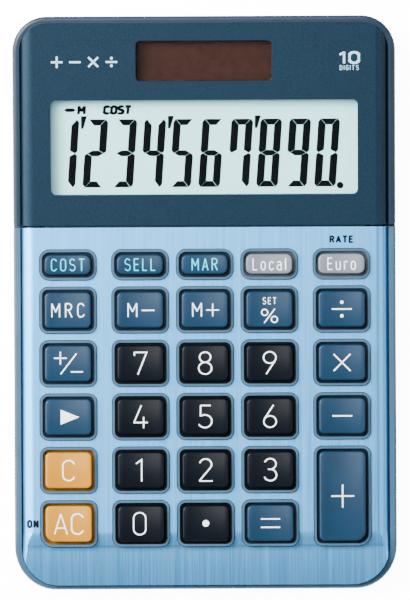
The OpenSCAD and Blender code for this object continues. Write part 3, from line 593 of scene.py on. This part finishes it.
# %% Stroke font
line, arc = "line", "arc"
arc_step = 18
end_share = 0.4
round_share = 0.86
BOWL = [(arc, 0.25, 0.75, 0.25, 0, 180), (line, 0, 0.75, 0, 0.25), (arc, 0.25, 0.25, 0.25, 180, 360),
        (line, 0.5, 0.25, 0.5, 0.75)]
OPEN_BOWL = [(arc, 0.25, 0.75, 0.25, 15, 180), (line, 0, 0.75, 0, 0.25), (arc, 0.25, 0.25, 0.25, 180, 345)]
STEM = [(line, 0, 0, 0, 1)]
GLYPHS = {
    "0": (0.5, BOWL),
    "1": (0.5, [(line, 0.28, 0, 0.28, 1), (line, 0.28, 0.98, 0.06, 0.8)]),
    "2": (0.5, [(arc, 0.25, 0.75, 0.25, 165, -35), (line, 0.455, 0.61, 0, 0.02), (line, 0, 0, 0.52, 0)]),
    "3": (0.5, [(arc, 0.25, 0.76, 0.24, 160, -90), (arc, 0.25, 0.26, 0.26, 90, -160),
                (line, 0.17, 0.52, 0.26, 0.52)]),
    "4": (0.56, [(line, 0.3, 1, 0, 0.24), (line, 0, 0.24, 0.56, 0.24), (line, 0.4, 0.48, 0.4, 0)]),
    "5": (0.5, [(line, 0.46, 1, 0.06, 1), (line, 0.06, 1, 0.05, 0.52), (arc, 0.23, 0.29, 0.29, 127, -150)]),
    "6": (0.52, [(line, 0.4, 1, 0.03, 0.39), (arc, 0.26, 0.26, 0.26, 0, 360)]),
    "7": (0.5, [(line, 0, 1, 0.52, 1), (line, 0.5, 0.98, 0.14, 0), (line, 0, 1, 0, 0.86)]),
    "8": (0.5, [(arc, 0.25, 0.77, 0.23, 0, 360), (arc, 0.25, 0.27, 0.27, 0, 360)]),
    "9": (0.52, [(line, 0.12, 0, 0.49, 0.61), (arc, 0.26, 0.74, 0.26, 0, 360)]),
    "A": (0.54, [(line, 0, 0, 0.27, 1), (line, 0.27, 1, 0.54, 0), (line, 0.08, 0.3, 0.46, 0.3)]),
    "C": (0.5, OPEN_BOWL),
    "D": (0.5, STEM + [(line, 0, 1, 0.2, 1), (arc, 0.2, 0.7, 0.3, 90, 0), (line, 0.5, 0.7, 0.5, 0.3),
                       (arc, 0.2, 0.3, 0.3, 0, -90), (line, 0.2, 0, 0, 0)]),
    "E": (0.42, STEM + [(line, 0, 1, 0.42, 1), (line, 0, 0.52, 0.38, 0.52), (line, 0, 0, 0.42, 0)]),
    "G": (0.5, OPEN_BOWL + [(line, 0.26, 0.46, 0.5, 0.46), (line, 0.5, 0.46, 0.5, 0.2)]),
    "I": (0.0, STEM),
    "L": (0.4, STEM + [(line, 0, 0, 0.4, 0)]),
    "M": (0.62, STEM + [(line, 0, 1, 0.31, 0.38), (line, 0.31, 0.38, 0.62, 1), (line, 0.62, 1, 0.62, 0)]),
    "N": (0.5, STEM + [(line, 0, 1, 0.5, 0), (line, 0.5, 0, 0.5, 1)]),
    "O": (0.5, BOWL),
    "R": (0.5, STEM + [(line, 0, 1, 0.24, 1), (arc, 0.24, 0.76, 0.24, 90, -90), (line, 0.24, 0.52, 0, 0.52),
                       (line, 0.24, 0.52, 0.5, 0)]),
    "S": (0.5, [(arc, 0.25, 0.76, 0.24, 25, 270), (arc, 0.25, 0.26, 0.26, 90, -155)]),
    "T": (0.5, [(line, 0, 1, 0.5, 1), (line, 0.25, 1, 0.25, 0)]),
    "a": (0.4, [(arc, 0.2, 0.5, 0.2, 155, 0), (line, 0.4, 0.5, 0.4, 0), (line, 0.4, 0.42, 0.19, 0.42),
                (arc, 0.19, 0.21, 0.21, 90, 270), (line, 0.19, 0, 0.4, 0)]),
    "c": (0.36, [(arc, 0.2, 0.5, 0.2, 20, 180), (line, 0, 0.5, 0, 0.2), (arc, 0.2, 0.2, 0.2, 180, 340)]),
    "l": (0.0, STEM),
    "o": (0.4, [(arc, 0.2, 0.5, 0.2, 0, 180), (line, 0, 0.5, 0, 0.2), (arc, 0.2, 0.2, 0.2, 180, 360),
                (line, 0.4, 0.2, 0.4, 0.5)]),
    "r": (0.26, [(line, 0, 0.7, 0, 0), (arc, 0.2, 0.5, 0.2, 180, 60)]),
    "u": (0.4, [(line, 0, 0.7, 0, 0.2), (arc, 0.2, 0.2, 0.2, 180, 360), (line, 0.4, 0.7, 0.4, 0)]),
}


def draw_line(bm, x0, y0, x1, y1, thick):
    """A straight stroke, with square ends."""
    along = Vector((x1 - x0, y1 - y0, 0))
    made = bmesh.ops.create_grid(bm, x_segments=1, y_segments=1, size=0.5)["verts"]
    size = Matrix.Diagonal((along.length + end_share * thick, thick, 1, 1))
    turn = Matrix.Rotation(math.atan2(along.y, along.x), 4, "Z")
    middle = Matrix.Translation(((x0 + x1) / 2, (y0 + y1) / 2, 0))
    bmesh.ops.transform(bm, matrix=middle @ turn @ size, verts=made)


def draw_arc(bm, cx, cy, radius, start, end, thick):
    """A round stroke: an edge as long as the stroke is thick, spun about the arc's centre."""
    at = Vector((math.cos(math.radians(start)), math.sin(math.radians(start)), 0))
    centre = Vector((cx, cy, 0))
    inner = bm.verts.new(centre + at * max(radius - thick / 2, 0))
    outer = bm.verts.new(centre + at * (radius + thick / 2))
    edge = bm.edges.new((inner, outer))
    steps = max(4, round(abs(end - start) / arc_step))
    bmesh.ops.spin(bm, geom=[inner, outer, edge], cent=centre, axis=(0, 0, 1), dvec=(0, 0, 0),
                   angle=math.radians(end - start), steps=steps, use_merge=abs(end - start) == 360,
                   use_duplicate=False)


def draw_text(bm, text, x, y, high, thick, wide=1.0, gap=0.24, lean=0.0):
    """Writes centred text; wide squeezes the letters across, and lean slants them."""
    cell = high - thick
    widths = [GLYPHS[c][0] * wide for c in text]
    total = (sum(widths) + gap * (len(text) - 1)) * cell
    pen = x - total / 2
    for letter, width in zip(text, widths):
        drawn = bmesh.new()
        for kind, *numbers in GLYPHS[letter][1]:
            if kind == line:
                x0, y0, x1, y1 = [n * cell for n in numbers]
                draw_line(drawn, x0 * wide, y0, x1 * wide, y1, thick)
            else:
                cx, cy, radius = [n * cell for n in numbers[:3]]
                ring = bmesh.new()
                draw_arc(ring, cx, cy, radius, numbers[3], numbers[4], thick)
                for vert in ring.verts:
                    away = vert.co.x - cx
                    vert.co.x = cx * wide + away * (1 + (wide - 1) * round_share)
                copy_into(drawn, ring)
        for vert in drawn.verts:
            vert.co.x += pen + lean * vert.co.y
            vert.co.y += y - cell / 2
        copy_into(bm, drawn)
        pen += (width + gap) * cell


def copy_into(bm, other):
    """Adds another bmesh to this one and frees it."""
    held = bpy.data.meshes.new("held")
    other.to_mesh(held)
    other.free()
    bm.from_mesh(held)
    bpy.data.meshes.remove(held)


def draw_dot(bm, x, y, radius):
    bmesh.ops.create_circle(bm, cap_ends=True, segments=20, radius=radius,
                            matrix=Matrix.Translation((x, y, 0)))


def draw_sign(bm, sign, x, y, size, thick):
    """An operator sign; size is half its width."""
    if sign in "+-/=":
        offset = size * 0.45 if sign == "=" else 0
        draw_line(bm, x - size, y + offset, x + size, y + offset, thick)
    if sign == "=":
        draw_line(bm, x - size, y - offset, x + size, y - offset, thick)
    if sign == "+":
        draw_line(bm, x, y - size, x, y + size, thick)
    if sign == "/":
        for side in (-1, 1):
            draw_dot(bm, x, y + side * size * 0.7, min(thick * 1.25, size * 0.26))
    if sign == "x":
        reach = size * 0.85
        for side in (-1, 1):
            draw_line(bm, x - reach, y - side * reach, x + reach, y + side * reach, thick)


print(len(GLYPHS), "glyphs")

# %% Lay the ink on a surface
film = 0.05
ink_strip = 1.2


def lay_ink(name, bm, place, ink, height, body="root"):
    """Cuts the flat strokes into strips, drops them on a surface and gives them thickness."""
    low = min(v.co.x for v in bm.verts)
    high = max(v.co.x for v in bm.verts)
    steps = int((high - low) / ink_strip) + 1
    for i in range(1, steps):
        bmesh.ops.bisect_plane(bm, geom=bm.verts[:] + bm.edges[:] + bm.faces[:], dist=0.00001,
                               plane_co=(low + i * (high - low) / steps, 0, 0), plane_no=(1, 0, 0))
    for vert in bm.verts:
        vert.co.z = height(vert.co.x, vert.co.y) - film / 2
    made = bmesh.ops.extrude_face_region(bm, geom=bm.faces[:], use_keep_orig=True)["geom"]
    tops = [g for g in made if isinstance(g, bmesh.types.BMVert)]
    bmesh.ops.translate(bm, vec=(0, 0, film), verts=tops)
    return finish_piece(name, bm, place, ink, body=body)


digit_high = 6.3
digit_thick = 0.35


def legend_strokes(bm, name):
    """Draws the legend of one key about the middle of its top."""
    short = {"key_cost": "COST", "key_sell": "SELL", "key_margin": "MAR",
             "key_local": "Local", "key_euro": "Euro"}
    if name in short:
        draw_text(bm, short[name], 0, 0, 3.4, 0.3, wide=0.86, gap=0.37)
    elif name[4:] in "0123456789":
        draw_text(bm, name[4:], -0.4 if name == "key_0" else 0, 0, digit_high, digit_thick, wide=1.1)
    elif name == "key_memory_recall":
        draw_text(bm, "MRC", 0, 0, 3.9, 0.32, wide=0.92, gap=0.46)
    elif name in ("key_memory_minus", "key_memory_plus"):
        draw_text(bm, "M", -2.1, 0, 3.9, 0.33, wide=1.05)
        draw_sign(bm, "-" if name == "key_memory_minus" else "+", 2.1, -0.1, 1.65, 0.32)
    elif name == "key_percent":
        draw_text(bm, "SET", 0, 2.3, 1.9, 0.2, wide=0.84, gap=0.42)
        draw_line(bm, -1.4, -3.6, 1.4, 0.1, 0.32)
        for side in (-1, 1):
            draw_arc(bm, side * 1.3, -1.75 - side * 0.95, 0.82, 0, 360, 0.32)
    elif name == "key_sign":
        draw_line(bm, -2.0, -2.75, 2.2, 2.7, 0.34)
        draw_sign(bm, "+", -2.1, 1.5, 1.65, 0.34)
        draw_line(bm, 0.8, -2.2, 3.9, -2.2, 0.34)
    elif name == "key_delete":
        corner = [bm.verts.new(p) for p in [(-2.1, -2.0, 0), (2.9, 0, 0), (-2.1, 2.0, 0)]]
        bm.faces.new(corner)
    elif name in ("key_clear", "key_all_clear"):
        draw_text(bm, "C" if name == "key_clear" else "AC", 0, 0, 5.8, 0.36, wide=1.16, gap=0.22)
    elif name == "key_point":
        draw_dot(bm, 0, 0, 0.9)
    elif name == "key_equals":
        draw_sign(bm, "=", 0, 0, 2.5, 0.34)
    else:
        signs = {"key_divide": "/", "key_multiply": "x", "key_subtract": "-", "key_add": "+"}
        size = 3.0 if name == "key_add" else 2.6
        draw_sign(bm, signs[name], 0, 0, size, 0.37)


for name, column, row, rows, ink in keys:
    x, v = key_centre(column, row, rows)
    half = cap_size(row, rows)[0] / 2
    bm = bmesh.new()
    legend_strokes(bm, name)
    colour = "ink_cyan" if name in ("key_cost", "key_sell", "key_margin") else "ink_white"
    bm.transform(Matrix.Translation((x, v, 0)))
    lay_ink(name + "_legend", bm, on_keypad, colour,
            lambda px, py, x=x, half=half: hollow(px - x, half), body=name)
print(len(keys), "legends")

# %% [markdown]
# ## Prints on the plate and the cover
# The plate carries two small dark words beside their keys. The cover carries a row of plain
# operator signs and the number of digits in pale blue. The outer word lies on the plate's rounded
# long edge, so its ink follows that curve.

# %% Plate and cover prints
crown_r = 3.5
plate_half = 49.5


def crown(x, y):
    """Height of the plate or the cover across its width: flat, then a quarter round."""
    over = max(abs(x) - (plate_half - crown_r), 0)
    return math.sqrt(max(crown_r ** 2 - over ** 2, 0)) - crown_r


for name, text, x, v, high, thick, wide, gap in [
    ("print_rate", "RATE", column_x[4], -3.6, 2.05, 0.5, 1.2, 0.5),
    ("print_on", "ON", -46.6, row_v[5], 2.3, 0.62, 1.05, 0.5),
]:
    bm = bmesh.new()
    draw_text(bm, text, x, v, high, thick, wide, gap)
    lay_ink(name, bm, on_keypad, "ink_dark", crown)

bm = bmesh.new()
signs_from, signs_step, signs_v = -39.5, 4.9, 44.6
for i, sign in enumerate("+-x/"):
    draw_sign(bm, sign, signs_from + signs_step * i, signs_v, 1.45, 0.52)
draw_text(bm, "10", 39.0, 45.5, 3.5, 0.6, wide=1.7, gap=0.14)
draw_text(bm, "DIGITS", 39.1, 42.8, 1.35, 0.17, wide=0.98, gap=0.45)
lay_ink("print_cover", bm, on_display, "ink_pale_blue", crown)
print("prints done")

# %% [markdown]
# ## Display digits
# Each digit of a liquid crystal display is seven etched segments that lean a little. A segment is a
# slim bar with mitred ends, and a hair of clear glass separates it from the next. The digits, the
# thousands marks and the indicators are printed on the glass, just above its surface.

# %% Seven segments
digit_pitch = 7.8
digit_w, digit_h = 5.8, 18.4
upright, level, middle = 2.0, 1.6, 1.5
hair = 0.05
bar_in, side_in, tip_in = 0.7, 0.6, 0.75
side_down, side_up = 0.85, 0.6
mark_low, mark_high = 6.7, 10.1
lean = math.tan(math.radians(4))
digits_mid = 19.55
last_right = 36.0
LIT = {"1": "bc", "2": "abged", "3": "abgcd", "4": "fgbc", "5": "afgcd", "6": "afgedc", "7": "fabc",
       "8": "abcdefg", "9": "abfgcd", "0": "abcdef"}


def segment_points(which):
    """Corners of one segment, from the digit's lower left corner."""
    w, h, half, knee = digit_w, digit_h, digit_h / 2, middle / 2
    bar = [(bar_in, h), (w - bar_in - hair, h), (w - upright - hair, h - level),
           (upright + hair, h - level)]
    side = [(side_in, h), (0, h - side_down), (0, half + side_up), (side_in, half + 0.6 * hair),
            (upright, half + knee + hair), (upright, h - level - hair)]
    tips = [(tip_in, half), (upright + hair, half + knee), (w - upright - hair, half + knee)]
    shapes = {
        "a": bar,
        "d": [(x, h - y) for x, y in bar],
        "f": side,
        "b": [(w - x, y) for x, y in side],
        "e": [(x, h - y) for x, y in side],
        "c": [(w - x, h - y) for x, y in side],
        "g": tips + [(w - x, h - y) for x, y in tips],
    }
    return shapes[which]


bm = bmesh.new()
for place, digit in enumerate("1234567890"):
    left = last_right - digit_w - (9 - place) * digit_pitch - lean * digit_h / 2
    for which in LIT[digit]:
        points = [(left + px + lean * py, digits_mid - digit_h / 2 + py)
                  for px, py in segment_points(which)]
        bm.faces.new([bm.verts.new((px, py, 0)) for px, py in points])
    if digit in "147":
        tip = left + digit_w + lean * digit_h
        shape = [(tip + 0.45, mark_low), (tip + 0.45, mark_high), (tip + 2.05, mark_high),
                 (tip + 1.05, mark_low)]
        bm.faces.new([bm.verts.new((px, digits_mid + py, 0)) for px, py in shape])
draw_dot(bm, 36.6, digits_mid - digit_h / 2 + 0.3, 0.9)
indicators_v = 31.3
minus_x = -36.1
minus = [(-1.6, 0), (-0.9, 0.48), (0.9, 0.48), (1.6, 0), (0.9, -0.48), (-0.9, -0.48)]
bm.faces.new([bm.verts.new((px + minus_x, py + indicators_v, 0)) for px, py in minus])
draw_text(bm, "M", -33.0, indicators_v, 2.6, 0.74, wide=1.35, gap=0.3, lean=0.06)
draw_text(bm, "COST", -23.4, indicators_v, 2.65, 0.75, wide=1.32, gap=0.34, lean=0.1)
glass_top = -2.93
lay_ink("lcd_digits", bm, on_display, "segment_ink", lambda px, py: glass_top + film)
print("display digits done")

# %% [markdown]
# ## Rubber keypad
# Under the keys lies one silicone sheet with a dome for each key. A dome gives way when its key goes
# down and pushes it back up. Here each dome is its own piece that rides on the frame's root and keeps
# its shape, and the sheet itself stays still.

# %% Sheet and domes
sheet_top = -4.83
sheet_t = 0.8
sheet_w, sheet_l, sheet_r = 86, 87.5, 1.5
sheet_mid = -47.9
dome_h = 1.8
dome_r, short_dome_r = 3.6, 2.8
dome_taper = 1
dome_edge = 0.3
bm = bmesh.new()
sheet = round_plate(bm, sheet_w, sheet_l, [sheet_r] * 4, sheet_top - sheet_t)
raise_face(bm, sheet, sheet_t)
bm.transform(Matrix.Translation((0, sheet_mid, 0)))
finish_piece("rubber_sheet", bm, on_keypad, "silicone", stands_for=["rubber_keypad"])
for name, column, row, rows, ink in keys:
    x, v = key_centre(column, row, rows)
    foot = short_dome_r if row == 0 else dome_r
    bm = bmesh.new()
    bmesh.ops.create_cone(bm, cap_ends=True, cap_tris=False, segments=28, radius1=foot,
                          radius2=foot - dome_taper, depth=dome_h,
                          matrix=Matrix.Translation((x, v, sheet_top + dome_h / 2)))
    rims = [e for e in bm.edges if e.is_manifold and e.calc_face_angle() > 0.6]
    bmesh.ops.bevel(bm, geom=rims, offset=dome_edge, segments=3, profile=0.5, affect="EDGES", material=-1)
    dome = finish_piece("dome_" + name, bm, on_keypad, "silicone")
    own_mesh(dome)
print(len(keys), "domes")

# %% [markdown]
# ## Studio
# The calculator lies on a plain pale table. A large dim soft light hangs overhead, to the left and
# behind. A stronger key light comes from the rear left, a low one grazes from the left side, and a
# weak one fills from the right. The camera doesn't see the lamps. The sky is a dim even grey so that
# the dark keys stay dark. The table glows only towards the camera, so it doesn't light the sides.

# %% Floor, lights and sky
floor_half = 6
floor_grain_mm = 30
floor_glow = 12
sky_glow = 0.4
floor_mesh = bpy.data.meshes.new("floor")
bm = bmesh.new()
bmesh.ops.create_grid(bm, x_segments=1, y_segments=1, size=floor_half)
bm.to_mesh(floor_mesh)
bm.free()
floor_finish, tree, shader = finish_of("paper_white_table", roughness=0.9, ior=1.2)
paper = tint(tree, pattern(tree, [floor_grain_mm] * 3), "#fbfbfb", "#ffffff")
tree.links.new(paper, shader.inputs["Base Color"])
shader.inputs["Emission Color"].default_value = rgb("#ffffff")
seen = add(tree, "ShaderNodeLightPath", {}).outputs["Is Camera Ray"]
glow = add(tree, "ShaderNodeMath", {0: seen, 1: floor_glow}, operation="MULTIPLY").outputs[0]
tree.links.new(glow, shader.inputs["Emission Strength"])
floor_mesh.materials.append(floor_finish)
floor = bpy.data.objects.new("floor", floor_mesh)
bpy.context.scene.collection.objects.link(floor)


def soft_light(name, place, target, size, power):
    """A rectangular lamp that the camera doesn't see: metres and watts."""
    data = bpy.data.lights.new(name, "AREA")
    data.shape = "RECTANGLE"
    data.size, data.size_y = size
    data.energy = power
    lamp = bpy.data.objects.new(name, data)
    lamp.location = place
    lamp.rotation_euler = (Vector(target) - Vector(place)).to_track_quat("-Z", "Y").to_euler()
    lamp.visible_camera = False
    bpy.context.scene.collection.objects.link(lamp)


soft_light("overhead", (-0.46, 0.41, 1.0), (-0.46, 0.41, 0), (0.92, 1.0), 22)
soft_light("key_light", (-0.9, 0.4, 0.95), (0, 0, 0), (0.7, 0.7), 56)
soft_light("side_light", (-1.1, 0.0, 0.35), (0, 0, 0), (0.5, 0.9), 13)
soft_light("fill_light", (0.95, -0.05, 0.8), (0, 0, 0), (0.5, 0.8), 3.5)
sky = bpy.data.worlds.new("studio_sky")
sky.use_nodes = True
sky.node_tree.nodes["Background"].inputs["Color"].default_value = (1, 1, 1, 1)
sky.node_tree.nodes["Background"].inputs["Strength"].default_value = sky_glow
bpy.context.scene.world = sky

# %% [markdown]
# ## Camera
# The view is square on to the keypad from far away, so that the sides stay parallel. The camera
# looks straight down the way the keys are pressed.

# %% Camera
seen_high = 161.6
lens = 600
sensor = 36
distance = seen_high * MM * lens / sensor
camera_data = bpy.data.cameras.new("camera")
camera_data.lens = lens
camera_data.sensor_width = sensor
camera_data.clip_end = 20
aim_x, aim_v = 0.05, -19.8
roll = math.radians(-0.27)
camera = bpy.data.objects.new("camera", camera_data)
aim = on_keypad @ Vector((aim_x, aim_v, 0))
turn = Matrix.Rotation(keypad_tilt, 4, "X") @ Matrix.Rotation(roll, 4, "Z")
camera.matrix_world = Matrix.Translation(aim - press_axis * distance) @ turn
bpy.context.scene.collection.objects.link(camera)
bpy.context.scene.camera = camera
print("camera", round(distance, 3), "m away")
